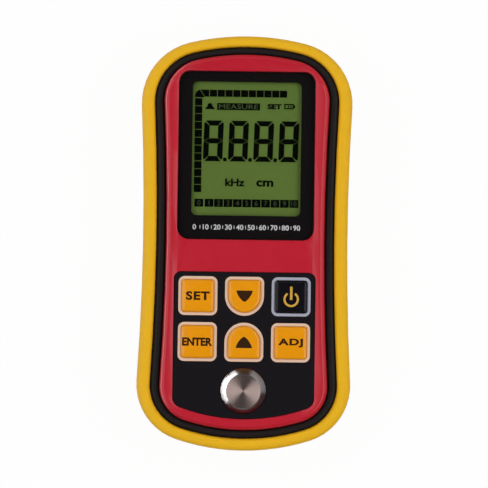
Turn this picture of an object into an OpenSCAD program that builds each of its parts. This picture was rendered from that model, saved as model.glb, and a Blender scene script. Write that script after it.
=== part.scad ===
// Handheld ultrasonic thickness gauge in a rubber boot, in millimetres.
// It lies on its back: +Z points out of the front face, +Y towards the probe sockets.

/* [Outline] */
// Overall length of the boot
body_len = 146; // [143:0.5:150]
// Width of the boot at its waist
waist_w = 72; // [71:0.5:76]
// How far the waist lies above the middle of the length
waist_y = 3.5; // [0:0.5:6]
// Radius of the hollow sides
side_r = 850; // [600:10:1400]
// Radius of the top end
top_r = 86; // [78:1:100]
// Radius of the bottom end
bottom_r = 76; // [70:1:90]
// Radius of the top corners
top_corner_r = 22; // [20:0.5:24]
// Radius of the bottom corners
bottom_corner_r = 20.4; // [19:0.2:23]
// Insets at the top end, as a share of the insets at the sides
top_share = 0.82; // [0.78:0.01:1]
// Insets at the bottom end, as a share of the insets at the sides
bottom_share = 0.9; // [0.86:0.01:1]

/* [Boot] */
// Thickness of the boot's side wall
boot_wall = 2.6; // [2.2:0.1:3]
// Height of the boot from its back lip to its front lip
boot_h = 27.6; // [27:0.1:29]
// Width of the front lip, seen from the front
front_lip_w = 4.7; // [4.4:0.1:5.2]
// Thickness of the front lip
front_lip_t = 2.2; // [1.8:0.1:2.6]
// Width of the back lip, seen from the back
back_lip_w = 12; // [11:0.2:12.4]
// Thickness of the back lip
back_lip_t = 2; // [1.7:0.1:2.3]
// Radius of the boot's outer edges
boot_edge_r = 2.2; // [1:0.1:3]
// Radius of the front lip's inner edge
lip_edge_r = 1.1; // [0.5:0.1:1.4]

/* [Shells] */
// Thickness of both shells' side walls
case_wall = 2; // [1.6:0.1:2.2]
// Thickness of the front shell's deck
deck_t = 2; // [1.6:0.1:2.4]
// Height of the joint between the shells
parting_z = 14; // [13:0.2:14.4]
// Thickness of the rear shell's back plate
back_plate_t = 2; // [1.8:0.1:2.4]
// Height of the back pad that shows through the boot, above the table
back_pad_z = 0.6; // [0.4:0.1:0.9]
// Height of the black bead round the front panel, above the deck
bead_h = 1.3; // [0.8:0.1:1.8]

/* [Front panel] */
// Distance from the boot's outline to the edge of the red panel
panel_inset = 8.2; // [7.9:0.1:8.6]
// Height of the panel's ridge above the deck
panel_h = 4; // [3.8:0.1:4.4]
// Width of the panel's rounded edge, outside the ridge
panel_edge_w = 1.9; // [1.5:0.1:2.4]
// Height of the panel's rounded edge
panel_edge_h = 2; // [1.2:0.1:2.6]
// Width of the slope inside the ridge
dish_w = 2.2; // [1.6:0.1:2.6]
// Drop of the slope inside the ridge
dish_d = 0.8; // [0.5:0.05:1]
// Depth of the window and the keypad below the panel's flat
recess_d = 0.2; // [0.1:0.05:0.4]
// Width of the panel's rail beside the window, at the waist
rail_w = 3.9; // [3.7:0.05:4.4]

/* [Display] */
// Corner radius of the window
window_r = 4; // [3:0.2:5]
// Thickness of the window
window_t = 1.6; // [1.2:0.1:1.8]
// Distance from the panel's top end to the window
window_margin = 6.1; // [5.6:0.1:6.6]
// Thickness of the window's adhesive gasket
gasket_t = 0.2; // [0.1:0.05:0.3]
// Distance from the window's side edges to the visible display
view_side = 4.75; // [4.4:0.05:5]
// Distance from the window's top edge to the visible display
view_drop = 3.5; // [3.2:0.1:4]
// Distance from the visible display to the window's bottom edge
view_foot = 8.4; // [8:0.1:9]
// Corner radius of the visible display
view_r = 1.8; // [1:0.1:2.5]
// Margin of the display glass round the visible display
glass_margin = 3.2; // [2.6:0.1:3.4]
// Thickness of the display glass
glass_t = 2.2; // [1.8:0.1:2.6]
// Wall of the display's holder
holder_wall = 1; // [0.8:0.1:1.2]
// Thickness of each contact strip under the display
strip_w = 2.2; // [1.8:0.1:2.4]

/* [Keys] */
// Height of the red band between the window and the keypad
band_h = 11.5; // [11:0.1:12]
// How much wider the keypad is than the window, on each side
keypad_out = 0.75; // [0.55:0.05:1]
// Distance from the panel's bottom end to the keypad
keypad_margin = 4; // [3.7:0.1:4.4]
// Radius of the keypad's top corners
keypad_top_r = 2.4; // [1.5:0.1:3.5]
// Radius of the keypad's bottom corners
keypad_bottom_r = 3.6; // [2.5:0.1:5]
// Thickness of the keypad's cover plate
overlay_t = 1; // [0.8:0.1:1.3]
// Distance from the keypad's side edges to the outer keys' borders
key_side = 1.35; // [1:0.05:1.6]
// Gap between the keys' borders, across
key_gap_x = 2.4; // [2.2:0.1:2.8]
// Gap between the keys' borders, along
key_gap_y = 2.15; // [1.95:0.05:2.4]
// Width of the printed border round a key
key_border = 1.05; // [0.8:0.05:1.3]
// Corner radius of the printed border
key_corner_r = 2.3; // [1.8:0.1:3]
// Distance from the keypad's top edge to the first keys
key_drop = 1.4; // [1.2:0.1:1.8]
// Height of a key above the cover plate
key_rise = 1.2; // [0.8:0.1:1.6]
// Width of a key's sloping edge
key_slope = 1.3; // [0.9:0.1:1.6]
// Travel of a key
key_travel = 0.6; // [0.3:0.05:0.7]
// Thickness of the flange under a key
flange_t = 0.8; // [0.6:0.1:1]
// Overhang of the flange under a key
flange_w = 0.9; // [0.6:0.1:1.1]
// Diameter of the foot under a key
foot_d = 5; // [4:0.2:5.6]
// Side of a switch body
switch_size = 6; // [5.6:0.1:6.4]
// Height of a switch body
switch_h = 3.4; // [3:0.1:3.6]
// Diameter of a switch plunger
plunger_d = 3.4; // [3:0.1:3.6]

/* [Calibration block] */
// Diameter of the steel calibration block
block_d = 15.9; // [15.4:0.1:16.4]
// Thickness of the calibration block
block_t = 4; // [3.8:0.1:4.2]
// Size of the block's chamfer
block_chamfer = 1.95; // [1.5:0.05:2.2]
// Distance from the lower keys to the calibration block
block_drop = 2.1; // [1.8:0.1:2.4]
// Distance from the calibration block to the keypad's bottom edge
block_rise = 1.85; // [1.5:0.05:2.2]

/* [Probe sockets] */
// Spacing of the two probe sockets
socket_pitch = 20; // [18:0.5:22]
// Bore of a probe socket
socket_bore_d = 5.2; // [4.8:0.1:5.4]
// Depth of a probe socket's bore
socket_bore_l = 7; // [6:0.2:8]
// Diameter of a probe socket's barrel
socket_barrel_d = 7; // [6.6:0.1:7.4]
// Length of a probe socket's body inside the case
socket_body_l = 10; // [9:0.5:12]
// Width of a probe socket's body
socket_body_w = 8; // [7.6:0.2:9]
// How far a barrel stays behind the boot's end
socket_recess = 0.8; // [0.5:0.1:1.2]
// Diameter of a socket's insulator
insulator_d = 4; // [3.4:0.1:4.2]
// Diameter of a socket's centre contact
contact_d = 1.4; // [1:0.1:1.6]
// Margin of the boot's slot round the barrels
slot_margin = 2.6; // [2:0.1:3.2]

/* [Board] */
// Thickness of the circuit board
board_t = 1.6; // [1.2:0.1:1.8]
// Distance from the deck's top to the board's top
board_drop = 6.6; // [6.5:0.05:7]
// Diameter of the board posts
post_d = 5; // [4.4:0.1:5.4]
// Diameter of the board screws
board_screw_d = 2; // [1.8:0.1:2.2]
// Length of the board screws under the head
board_screw_l = 4.6; // [4.2:0.1:5]
// Side of the processor chip
processor_w = 12; // [10:0.5:13]
// Width of the receiver chip
receiver_w = 6; // [5:0.2:7]
// Length of the receiver chip
receiver_l = 10; // [8:0.5:11]
// Height of the chips
chip_h = 1.6; // [1.2:0.1:2]
// Diameter of the crystal can's round ends
crystal_d = 4.6; // [4:0.1:5]
// Length of the crystal can
crystal_l = 11; // [10:0.2:11.6]
// Height of the crystal can
crystal_h = 3.6; // [3:0.1:4]
// Diameter of the pulse transformer's flanges
core_d = 9; // [8:0.2:10]
// Height of the pulse transformer
core_h = 7.6; // [7:0.1:8]
// Diameter of the buzzer
buzzer_d = 12; // [10:0.2:12.6]
// Height of the buzzer
buzzer_h = 7; // [6:0.1:7.6]

/* [Battery bay] */
// Diameter of a battery cell
cell_d = 10.4; // [10:0.1:10.5]
// Length of a battery cell with its nub
cell_l = 44.5; // [44:0.1:45]
// Spacing of the cells
cell_pitch = 11.2; // [11:0.1:11.6]
// Wall of the battery bay
bay_wall = 1.4; // [1.2:0.1:1.6]
// Distance from the boot's bottom end to the bay
bay_end = 20.4; // [20:0.2:21]
// Length of a compressed contact spring
spring_l = 4; // [3.6:0.1:4.4]
// Diameter of the spring wire
spring_wire_d = 0.7; // [0.5:0.05:0.9]
// Thickness of the contact plates
contact_t = 0.5; // [0.4:0.05:0.6]
// Thickness of the battery door
door_t = 1.8; // [1.6:0.1:2]
// Lap of the door over the bay on each side
door_lap = 2; // [1.6:0.1:2.2]
// Corner radius of the door
door_r = 3; // [2:0.2:4]
// Diameter of the door's hinge bead
door_bead_d = 2.6; // [2.4:0.1:2.8]
// Diameter of the door's hinge pins
hinge_pin_d = 1.6; // [1.2:0.1:1.7]
// Length of the door's hinge pins
hinge_pin_l = 1.8; // [1.4:0.1:2.2]

/* [Fasteners] */
// Shank diameter of the case screws
screw_d = 2.5; // [2.2:0.1:2.8]
// Head diameter of the case screws
screw_head_d = 5; // [4.6:0.1:5.2]
// Head height of the case screws
screw_head_h = 1.8; // [1.4:0.1:2]
// Shank length of the case screws
screw_l = 15; // [13:0.5:16]
// Diameter of the screw bosses
boss_d = 6.2; // [5.8:0.1:6.4]
// Distance from the boot's waist to the screws, across
screw_inset = 7.8; // [7.4:0.1:8]
// Distance from the boot's ends to the screws, along
screw_end = 23; // [22:0.5:25]

/* [Clearances] */
// Clearance between pieces that are fixed together
fit = 0.2; // [0.1:0.05:0.25]
// Clearance between the boot and the shells
boot_gap = 0.15; // [0.1:0.05:0.2]
// Clearance round a key and round the door
slide_gap = 0.15; // [0.1:0.05:0.25]
// Clearance round a hinge pin and a switch plunger
pin_gap = 0.06; // [0.03:0.01:0.1]

/* [Hidden] */
$fn = 64;
eps = 0.05;

// Steps along each part of the outline, and round a small corner
end_steps = 6;
corner_steps = 10;
side_steps = 6;
small_steps = 7;

// Centres of the outline's three great arcs
top_c = [0, body_len / 2 - top_r];
bottom_c = [0, bottom_r - body_len / 2];
side_c = [waist_w / 2 + side_r, waist_y];

// Levels, from the table up
case_inset = boot_wall + boot_gap;
bay_floor_z = back_lip_t + boot_gap;
plate_top_z = bay_floor_z + back_plate_t;
deck_z = boot_h - front_lip_t - boot_gap;
deck_bottom_z = deck_z - deck_t;
panel_z = deck_z + panel_h;
face_z = panel_z - dish_d - recess_d;
window_z = face_z - window_t;
ledge_z = window_z - gasket_t;
cover_z = face_z - overlay_t;
key_top_z = face_z + key_rise;
flange_z = deck_z - fit;
board_z = deck_z - board_drop;
board_bottom_z = board_z - board_t;
glass_z = deck_z - fit - glass_t;
plunger_z = flange_z - flange_t - key_travel - 2 * fit;
block_z = face_z + block_chamfer - block_t;
socket_z = parting_z;

// Sizes across the front
window_w = waist_w - 2 * (panel_inset + rail_w);
view_w = window_w - 2 * view_side;
keypad_w = window_w + 2 * keypad_out;
key_size = (keypad_w - 2 * key_side - 2 * key_gap_x) / 3;
key_pitch_x = key_size + key_gap_x;
key_pitch_y = key_size + key_gap_y;

// Places on the front, along the length: the keypad from the bottom end, the window in what is left
keypad_y0 = bottom_share * panel_inset + keypad_margin - body_len / 2;
block_y = keypad_y0 + block_rise + block_d / 2;
key_row_y1 = block_y + block_d / 2 + block_drop + key_size / 2;
key_row_y = [key_row_y1 + key_pitch_y, key_row_y1];
keypad_y1 = key_row_y[0] + key_size / 2 + key_drop;
keypad_arc_r = bottom_c[1] - keypad_y0;
window_y0 = keypad_y1 + band_h;
window_y1 = body_len / 2 - top_share * panel_inset - window_margin;
window_h = window_y1 - window_y0;
window_y = (window_y0 + window_y1) / 2;
view_h = window_h - view_drop - view_foot;
view_y = window_y0 + view_foot + view_h / 2;
glass_w = view_w + 2 * glass_margin;
glass_h = view_h + 2 * glass_margin;
holder_w = glass_w + 2 * (holder_wall + fit);
holder_h = glass_h + 2 * (holder_wall + fit);
screw_x = waist_w / 2 - screw_inset;
screw_y = body_len / 2 - screw_end;
board_w = 2 * (screw_x - boss_d / 2 - 3 * fit);
post_y = [keypad_y1 + band_h / 2, block_y];
post_x = board_w / 2 - post_d / 2 - fit;
part_x = 0.27 * board_w;
part_y = 0.25 * view_h;

// Places of the battery bay
cell_nub_l = 1;
cell_nub_r = 0.18 * cell_d;
contact_bump = 0.6;
cell_z = back_pad_z + door_t + 2 * fit + cell_d / 2;
roof_z = cell_z + cell_d / 2 + 2 * fit;
roof_t = 1.2;
bay_w = 2 * cell_pitch + cell_d + 4 * fit;
bay_l = cell_l + spring_l + 2 * contact_t + contact_bump;
bay_y0 = bay_end - body_len / 2;
bay_y1 = bay_y0 + bay_l;
door_w = bay_w + 2 * door_lap;
hinge_room = slide_gap + door_bead_d / 2;
hinge_y = bay_y1 + 1 + hinge_room;
hinge_z = back_pad_z + 0.1 + door_bead_d / 2;
door_y0 = bay_y0 - door_lap;
door_ledge_z = back_pad_z + door_t + eps;

// Places of the probe sockets
socket_end_y = body_len / 2 - socket_recess - (top_r - sqrt(top_r * top_r - pow(socket_pitch / 2, 2)));
socket_front_y = socket_end_y - socket_bore_l;
socket_back_y = socket_front_y - socket_body_l + 3;
socket_wall_y = body_len / 2 - case_inset - case_wall - 2 * fit;
socket_body_y = socket_wall_y - (top_r - sqrt(top_r * top_r - pow((socket_pitch + socket_body_w) / 2, 2)));
screw_seat_z = bay_floor_z + screw_head_h + fit;

// Each key: name, column, row and shape (0 square, 1 round below, 2 round above)
KEYS = [["set", -1, 0, 0], ["down", 0, 0, 1], ["power", 1, 0, 0],
  ["enter", -1, 1, 0], ["up", 0, 1, 2], ["adjust", 1, 1, 0]];

// Where two circles meet, on the left (1) or right (-1) of the line between their centres
function meet(c1, r1, c2, r2, side) =
  let (v = c2 - c1, l = norm(v), a = (r1 * r1 - r2 * r2 + l * l) / (2 * l), h = sqrt(r1 * r1 - a * a))
  c1 + a * v / l + side * h * [-v[1], v[0]] / l;

function heading(v) = atan2(v[1], v[0]);
function tail(list) = [for (i = [1:len(list) - 1]) list[i]];
function mirrored(pts) = [for (i = [len(pts) - 2:-1:1]) [-pts[i][0], pts[i][1]]];
function arc(c, r, a0, a1, n) =
  [for (i = [0:n]) let (a = a0 + (a1 - a0) * i / n) c + r * [cos(a), sin(a)]];

// Right half of the outline, from the bottom to the top, moved out by d at the sides
// and by a share of d at the ends
function half_outline(d) =
  let (t = top_share * d, b = bottom_share * d,
    tr = top_corner_r + (d + t) / 2, br = bottom_corner_r + (d + b) / 2,
    top_k = meet(top_c, top_r + t - tr, side_c, side_r - d + tr, 1),
    bottom_k = meet(bottom_c, bottom_r + b - br, side_c, side_r - d + br, -1),
    top_a = heading(top_k - top_c), bottom_a = heading(bottom_k - bottom_c),
    side_top_a = heading(top_k - side_c), side_bottom_a = heading(bottom_k - side_c) + 360)
  concat(
    arc(bottom_c, bottom_r + b, -90, bottom_a, end_steps),
    tail(arc(bottom_k, br, bottom_a, side_bottom_a - 180, corner_steps)),
    tail(arc(side_c, side_r - d, side_bottom_a, side_top_a, side_steps)),
    tail(arc(top_k, tr, side_top_a - 180, top_a, corner_steps)),
    tail(arc(top_c, top_r + t, top_a, 90, end_steps)));
function outline(d) = concat(half_outline(d), mirrored(half_outline(d)));

// Rectangle with round corners, centred
function round_rect(w, h, r) = concat(
  arc([w / 2 - r, r - h / 2], r, -90, 0, small_steps), arc([w / 2 - r, h / 2 - r], r, 0, 90, small_steps),
  arc([r - w / 2, h / 2 - r], r, 90, 180, small_steps), arc([r - w / 2, r - h / 2], r, 180, 270, small_steps));

// Keypad: straight sides, square top and a bottom that follows the panel's end, grown by d
function keypad(d) =
  let (w = keypad_w / 2 + d, r = keypad_bottom_r + d, big = keypad_arc_r + d, rt = keypad_top_r + d,
    k = [w - r, bottom_c[1] - sqrt(pow(big - r, 2) - pow(w - r, 2))], a = heading(k - bottom_c),
    half = concat(arc(bottom_c, big, -90, a, end_steps), tail(arc(k, r, a, 0, small_steps)),
      arc([w - rt, keypad_y1 + d - rt], rt, 0, 90, small_steps)))
  concat(half, [for (i = [len(half) - 1:-1:1]) [-half[i][0], half[i][1]]]);

// Key outline of a shape, moved in by d
function key_outline(shape, d) =
  let (h = key_size / 2 - d, r = max(key_corner_r - d, 0.5),
    upper = concat(arc([h - r, h - r], r, 0, 90, small_steps), arc([r - h, h - r], r, 90, 180, small_steps)),
    lower = shape == 0
      ? concat(arc([r - h, r - h], r, 180, 270, small_steps), arc([h - r, r - h], r, 270, 360, small_steps))
      : arc([0, 0], h, 180, 360, 3 * small_steps))
  [for (p = concat(upper, lower)) shape == 2 ? [-p[0], -p[1]] : p];

function key_place(k) = [k[1] * key_pitch_x, key_row_y[k[2]], 0];
function key_named(name) = [for (k = KEYS) if (k[0] == name) k][0];

// Quarter round from [x, z] over a width and a height, as profile points
function quarter(x, z, w, h, n) = [for (i = [0:n]) [x - w * (1 - cos(90 * i / n)), z + h * sin(90 * i / n)]];

// Solid between the outlines of a list of rings, each a list of points at a height
module loft(rings, heights) {
  n = len(rings[0]);
  m = len(rings);
  polyhedron(
    points = [for (j = [0:m - 1]) for (p = rings[j]) [p[0], p[1], heights[j]]],
    faces = concat(
      [[for (i = [0:n - 1]) i]],
      [[for (i = [n - 1:-1:0]) (m - 1) * n + i]],
      [for (j = [0:m - 2]) for (i = [0:n - 1])
        [j * n + i, (j + 1) * n + i, (j + 1) * n + (i + 1) % n, j * n + (i + 1) % n]]));
}

// Ring that carries a closed profile of [offset, height] points round the outline
module rim(profile) {
  n = len(outline(0));
  m = len(profile);
  polyhedron(
    points = [for (q = profile) for (p = outline(q[0])) [p[0], p[1], q[1]]],
    faces = [for (j = [0:m - 1]) for (i = [0:n - 1])
      [j * n + i, ((j + 1) % m) * n + i, ((j + 1) % m) * n + (i + 1) % n, j * n + (i + 1) % n]]);
}

// Wire wound into a cone that stands on z = 0
module coil(r0, r1, height, wire_d, turns) {
  steps = 12;
  sides = 6;
  last = turns * steps;
  points = [for (j = [0:last]) for (i = [0:sides - 1])
    let (t = j / last, a = 360 * j / steps, r = r0 + (r1 - r0) * t, b = 360 * i / sides,
      x = r + wire_d / 2 * cos(b))
    [x * cos(a), x * sin(a), wire_d / 2 + (height - wire_d) * t + wire_d / 2 * sin(b)]];
  polyhedron(points = points, faces = concat(
    [[for (i = [sides - 1:-1:0]) i]],
    [[for (i = [0:sides - 1]) last * sides + i]],
    [for (j = [0:last - 1]) for (i = [0:sides - 1])
      [j * sides + i, j * sides + (i + 1) % sides, (j + 1) * sides + (i + 1) % sides, (j + 1) * sides + i]]));
}

// Prism of a list of points between two heights
module prism(pts, z0, z1) {
  translate([0, 0, z0]) linear_extrude(z1 - z0) polygon(pts);
}

module at_screws() {
  for (x = [-screw_x, screw_x]) for (y = [-screw_y, screw_y]) translate([x, y, 0]) children();
}

module at_posts() {
  for (x = [-post_x, post_x]) for (y = post_y) translate([x, y, 0]) children();
}

module at_key(name) {
  translate(key_place(key_named(name))) children();
}

// Round bar along the length at one of the two sockets, from y0 to y1
module socket_bar(side, d, y0, y1) {
  translate([side * socket_pitch / 2, y0, socket_z]) rotate([-90, 0, 0]) cylinder(d = d, h = y1 - y0);
}

// Yellow boot: back lip, side wall and front lip, with a slot for the probe sockets
module rubber_boot() {
  back_edge = [for (q = quarter(0, 0, boot_edge_r, boot_edge_r, 5)) [q[0], boot_edge_r - q[1]]];
  front_edge = quarter(0, boot_h - boot_edge_r, boot_edge_r, boot_edge_r, 5);
  lip_edge = [for (i = [0:4]) let (a = 22.5 * i)
    [lip_edge_r - front_lip_w - lip_edge_r * sin(a), boot_h - lip_edge_r * (1 - cos(a))]];
  slot_h = socket_barrel_d + 2 * slot_margin;
  color("gold") difference() {
    rim(concat(
      [for (i = [len(back_edge) - 1:-1:0]) back_edge[i]], front_edge, lip_edge,
      [[-front_lip_w, boot_h - front_lip_t], [-boot_wall, boot_h - front_lip_t],
        [-boot_wall, back_lip_t], [-back_lip_w, back_lip_t], [-back_lip_w, 0]]));
    translate([0, body_len / 2 - 2 * front_lip_w, 0]) union() {
      translate([-socket_pitch / 2, 0, socket_z - slot_h / 2]) cube([socket_pitch, 3 * front_lip_w, slot_h]);
      for (side = [-1, 1]) translate([side * socket_pitch / 2, 0, socket_z])
        rotate([-90, 0, 0]) cylinder(d = slot_h, h = 3 * front_lip_w);
    }
  }
}

// Half-round passages for the socket barrels through both shells' end walls
module socket_passages() {
  for (side = [-1, 1])
    socket_bar(side, socket_barrel_d + 2 * fit, body_len / 2 - 3 * front_lip_w, body_len / 2);
}

// Black front shell: side wall, deck, the bead round the panel, screw bosses and board posts
module front_case() {
  gap = panel_inset - front_lip_w - 2 * fit;
  bead = concat(
    [[-front_lip_w - fit, deck_z - eps]],
    quarter(-front_lip_w - fit, deck_z + bead_h / 3, gap / 2, bead_h * 2 / 3, 4),
    [for (i = [1:4]) [-front_lip_w - fit - gap / 2 - gap / 2 * sin(22.5 * i),
      deck_z + bead_h / 3 + bead_h * 2 / 3 * cos(22.5 * i)]],
    [[-panel_inset + fit, deck_z - eps]]);
  keys_w = 2 * key_pitch_x + key_size + 2 * fit;
  keys_h = key_pitch_y + key_size + 2 * fit;
  color("dimgray") difference() {
    union() {
      difference() {
        prism(outline(-case_inset), parting_z, deck_z);
        prism(outline(-case_inset - case_wall), parting_z - 1, deck_bottom_z);
      }
      rim(bead);
      at_screws() translate([0, 0, parting_z]) cylinder(d = boss_d, h = deck_bottom_z - parting_z + eps);
      at_posts() translate([0, 0, board_z]) cylinder(d = post_d, h = deck_bottom_z - board_z + eps);
    }
    translate([-holder_w / 2 - fit, view_y - holder_h / 2 - fit, deck_bottom_z - 1])
      cube([holder_w + 2 * fit, holder_h + 2 * fit, deck_t + 2]);
    translate([0, (key_row_y[0] + key_row_y[1]) / 2, 0])
      prism(round_rect(keys_w, keys_h, key_corner_r), deck_bottom_z - 1, deck_z + 1);
    at_screws() translate([0, 0, parting_z - 1])
      cylinder(d = screw_d + 2 * pin_gap, h = screw_seat_z + screw_l + 2 - parting_z);
    at_posts() translate([0, 0, board_z - 1])
      cylinder(d = board_screw_d + 2 * pin_gap, h = board_screw_l - board_t + 2);
    socket_passages();
  }
}

// Black rear shell: side wall, back plate with its pad, battery bay, screw tubes and hinge seats
module rear_case() {
  opening_w = door_w + 2 * slide_gap;
  color("dimgray") difference() {
    union() {
      difference() {
        prism(outline(-case_inset), bay_floor_z, parting_z);
        prism(outline(-case_inset - case_wall), plate_top_z, parting_z + 1);
      }
      prism(outline(-back_lip_w - fit), back_pad_z, bay_floor_z + eps);
      translate([-bay_w / 2 - bay_wall, bay_y0 - bay_wall, plate_top_z - eps])
        cube([bay_w + 2 * bay_wall, bay_l + 2 * bay_wall, roof_z + roof_t - plate_top_z + eps]);
      at_screws() translate([0, 0, plate_top_z - eps]) cylinder(d = boss_d, h = parting_z - plate_top_z + eps);
    }
    difference() {
      translate([-bay_w / 2, bay_y0, 0]) cube([bay_w, bay_l, roof_z]);
      for (x = [-cell_pitch / 2, cell_pitch / 2]) translate([x, bay_y0 + bay_l / 4, roof_z - cell_d / 4])
        translate([-0.4, 0, 0]) cube([0.8, bay_l / 2, cell_d / 4 + 1]);
    }
    translate([-opening_w / 2, door_y0 - slide_gap, 0])
      cube([opening_w, hinge_y - door_y0 + slide_gap, door_ledge_z]);
    translate([-opening_w / 2, hinge_y, hinge_z]) rotate([0, 90, 0])
      cylinder(r = hinge_room, h = opening_w);
    translate([-opening_w / 2, hinge_y, 0]) cube([opening_w, hinge_room, hinge_z]);
    translate([-door_w / 2 - hinge_pin_l - fit, hinge_y, hinge_z]) rotate([0, 90, 0])
      cylinder(d = hinge_pin_d + 2 * pin_gap, h = door_w + 2 * hinge_pin_l + 2 * fit);
    at_screws() {
      cylinder(d = screw_d + 2 * fit, h = parting_z + 1);
      cylinder(d = screw_head_d + 2 * fit, h = screw_seat_z);
    }
    socket_passages();
  }
}

// Red front panel: rounded edge, ridge and inner slope, with seats for the window and the keypad
// and a pocket for the calibration block
module front_panel() {
  edge = quarter(-panel_inset, panel_z - panel_edge_h, panel_edge_w, panel_edge_h, 6);
  levels = concat([[-panel_inset, deck_z]], edge, [[-panel_inset - panel_edge_w - dish_w, panel_z - dish_d]]);
  color("firebrick") difference() {
    loft([for (q = levels) outline(q[0])], [for (q = levels) q[1]]);
    translate([0, window_y, 0])
      prism(round_rect(window_w + 2 * fit, window_h + 2 * fit, window_r + fit), ledge_z, panel_z + 1);
    translate([0, view_y, 0]) prism(round_rect(view_w + 2, view_h + 2, view_r + 1), deck_z - 1, panel_z);
    prism(keypad(fit), cover_z, panel_z + 1);
    for (k = KEYS) translate(key_place(k)) prism(key_outline(k[3], key_border), deck_z - 1, panel_z);
    translate([0, block_y, block_z]) cylinder(d = block_d + 2 * fit, h = panel_z);
  }
}

// Die-cut black adhesive frame that holds the window and frames the display
module window_gasket() {
  color("black") difference() {
    translate([0, window_y, 0]) prism(round_rect(window_w, window_h, window_r), ledge_z, window_z);
    translate([0, view_y, 0]) prism(round_rect(view_w, view_h, view_r), ledge_z - 1, window_z + 1);
  }
}

// Clear window over the display
module display_window() {
  color("lightgray", 0.4) translate([0, window_y, 0])
    prism(round_rect(window_w, window_h, window_r), window_z, face_z);
}

// Black cover plate of the keypad, with an opening for each key and for the calibration block
module keypad_cover() {
  color("black") difference() {
    prism(keypad(0), cover_z, face_z);
    for (k = KEYS) translate(key_place(k)) prism(key_outline(k[3], key_border), cover_z - 1, face_z + 1);
    translate([0, block_y, cover_z - 1]) cylinder(d = block_d + 2 * fit, h = overlay_t + 2);
  }
}

// Turned steel block of known thickness for calibrating the probe
module calibration_block() {
  color("silver") translate([0, block_y, block_z]) union() {
    cylinder(d = block_d, h = block_t - block_chamfer);
    translate([0, 0, block_t - block_chamfer])
      cylinder(d1 = block_d, d2 = block_d - 2 * block_chamfer, h = block_chamfer);
  }
}

// Key cap: foot on the switch, flange under the panel, and a body that slopes to a flat top
module key(name, tint) {
  shape = key_named(name)[3];
  side = key_border + slide_gap;
  slope = quarter(-side, face_z + key_rise / 4, key_slope, key_rise * 3 / 4, 5);
  levels = concat([[-side + flange_w, flange_z - flange_t], [-side + flange_w, flange_z - eps],
    [-side, flange_z]], slope);
  color(tint) at_key(name) union() {
    loft([for (q = levels) key_outline(shape, -q[0])], [for (q = levels) q[1]]);
    translate([0, 0, plunger_z]) cylinder(d = foot_d, h = flange_z - flange_t - plunger_z + eps);
  }
}

// Plunger of one key switch, which travels with its key
module switch_plunger(name) {
  color("white") at_key(name) translate([0, 0, board_z + key_travel + fit])
    cylinder(d = plunger_d, h = plunger_z - board_z - key_travel - fit);
}

module switch_bodies() {
  color("dimgray") for (k = KEYS) translate(key_place(k)) translate([0, 0, board_z]) difference() {
    translate([-switch_size / 2, -switch_size / 2, 0]) cube([switch_size, switch_size, switch_h]);
    translate([0, 0, -1]) cylinder(d = plunger_d + 2 * pin_gap, h = switch_h + 2);
  }
}

module display_glass() {
  color("olivedrab") translate([-glass_w / 2, view_y - glass_h / 2, glass_z]) cube([glass_w, glass_h, glass_t]);
}

// Moulded holder that keeps the glass, the light panel and the contact strips on the board
module display_holder() {
  light_h = glass_h - 4 * (strip_w + fit) - 2 * fit;
  color("whitesmoke") translate([0, view_y, 0]) difference() {
    translate([-holder_w / 2, -holder_h / 2, board_z]) cube([holder_w, holder_h, glass_z + glass_t - board_z]);
    translate([-glass_w / 2 - fit, -glass_h / 2 - fit, glass_z])
      cube([glass_w + 2 * fit, glass_h + 2 * fit, glass_t + 1]);
    translate([-view_w / 2 - fit, -light_h / 2 - fit, board_z - 1])
      cube([view_w + 2 * fit, light_h + 2 * fit, glass_z - board_z + 2]);
    for (side = [-1, 1])
      translate([-view_w / 2 - fit, side * (glass_h - strip_w - 2 * fit) / 2 - strip_w / 2 - fit, board_z - 1])
        cube([view_w + 2 * fit, strip_w + 2 * fit, glass_z - board_z + 2]);
  }
}

// Light panel behind the display glass
module backlight_panel() {
  light_h = glass_h - 4 * (strip_w + fit) - 2 * fit;
  color("ivory") translate([-view_w / 2, view_y - light_h / 2, board_z])
    cube([view_w, light_h, glass_z - board_z - fit]);
}

// Two elastic strips that join the board's pads to the display glass
module contact_strips() {
  color("slategray") for (side = [-1, 1])
    translate([-view_w / 2, view_y + side * (glass_h - strip_w - 2 * fit) / 2 - strip_w / 2, board_z])
      cube([view_w, strip_w, glass_z - board_z]);
}

module circuit_board() {
  edge_inset = case_inset + case_wall + 3 * fit;
  board_l = socket_body_y - fit + body_len / 2;
  color("seagreen") difference() {
    intersection() {
      prism(outline(-edge_inset), board_bottom_z, board_z);
      translate([-board_w / 2, -body_len / 2, board_bottom_z - 1]) cube([board_w, board_l, board_t + 2]);
    }
    at_posts() translate([0, 0, board_bottom_z - 1]) cylinder(d = board_screw_d + 2 * fit, h = board_t + 2);
  }
}

// Rectangular part soldered to the board's underside
module chip(x, y, w, l, h) {
  translate([x - w / 2, y - l / 2, board_bottom_z - h]) cube([w, l, h]);
}

module processor_chip() {
  color("black") chip(0, view_y - part_y / 3, processor_w, processor_w, chip_h);
}

module receiver_chip() {
  color("black") chip(-part_x, view_y + part_y, receiver_w, receiver_l, chip_h);
}

// Metal crystal can with round ends, lying on the board
module crystal_can() {
  straight = crystal_l - crystal_d;
  color("silver") translate([part_x, view_y - part_y / 3, 0]) union() {
    chip(0, 0, crystal_d, straight, crystal_h);
    for (y = [-straight / 2, straight / 2])
      translate([0, y, board_bottom_z - crystal_h]) cylinder(d = crystal_d, h = crystal_h);
  }
}

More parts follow.
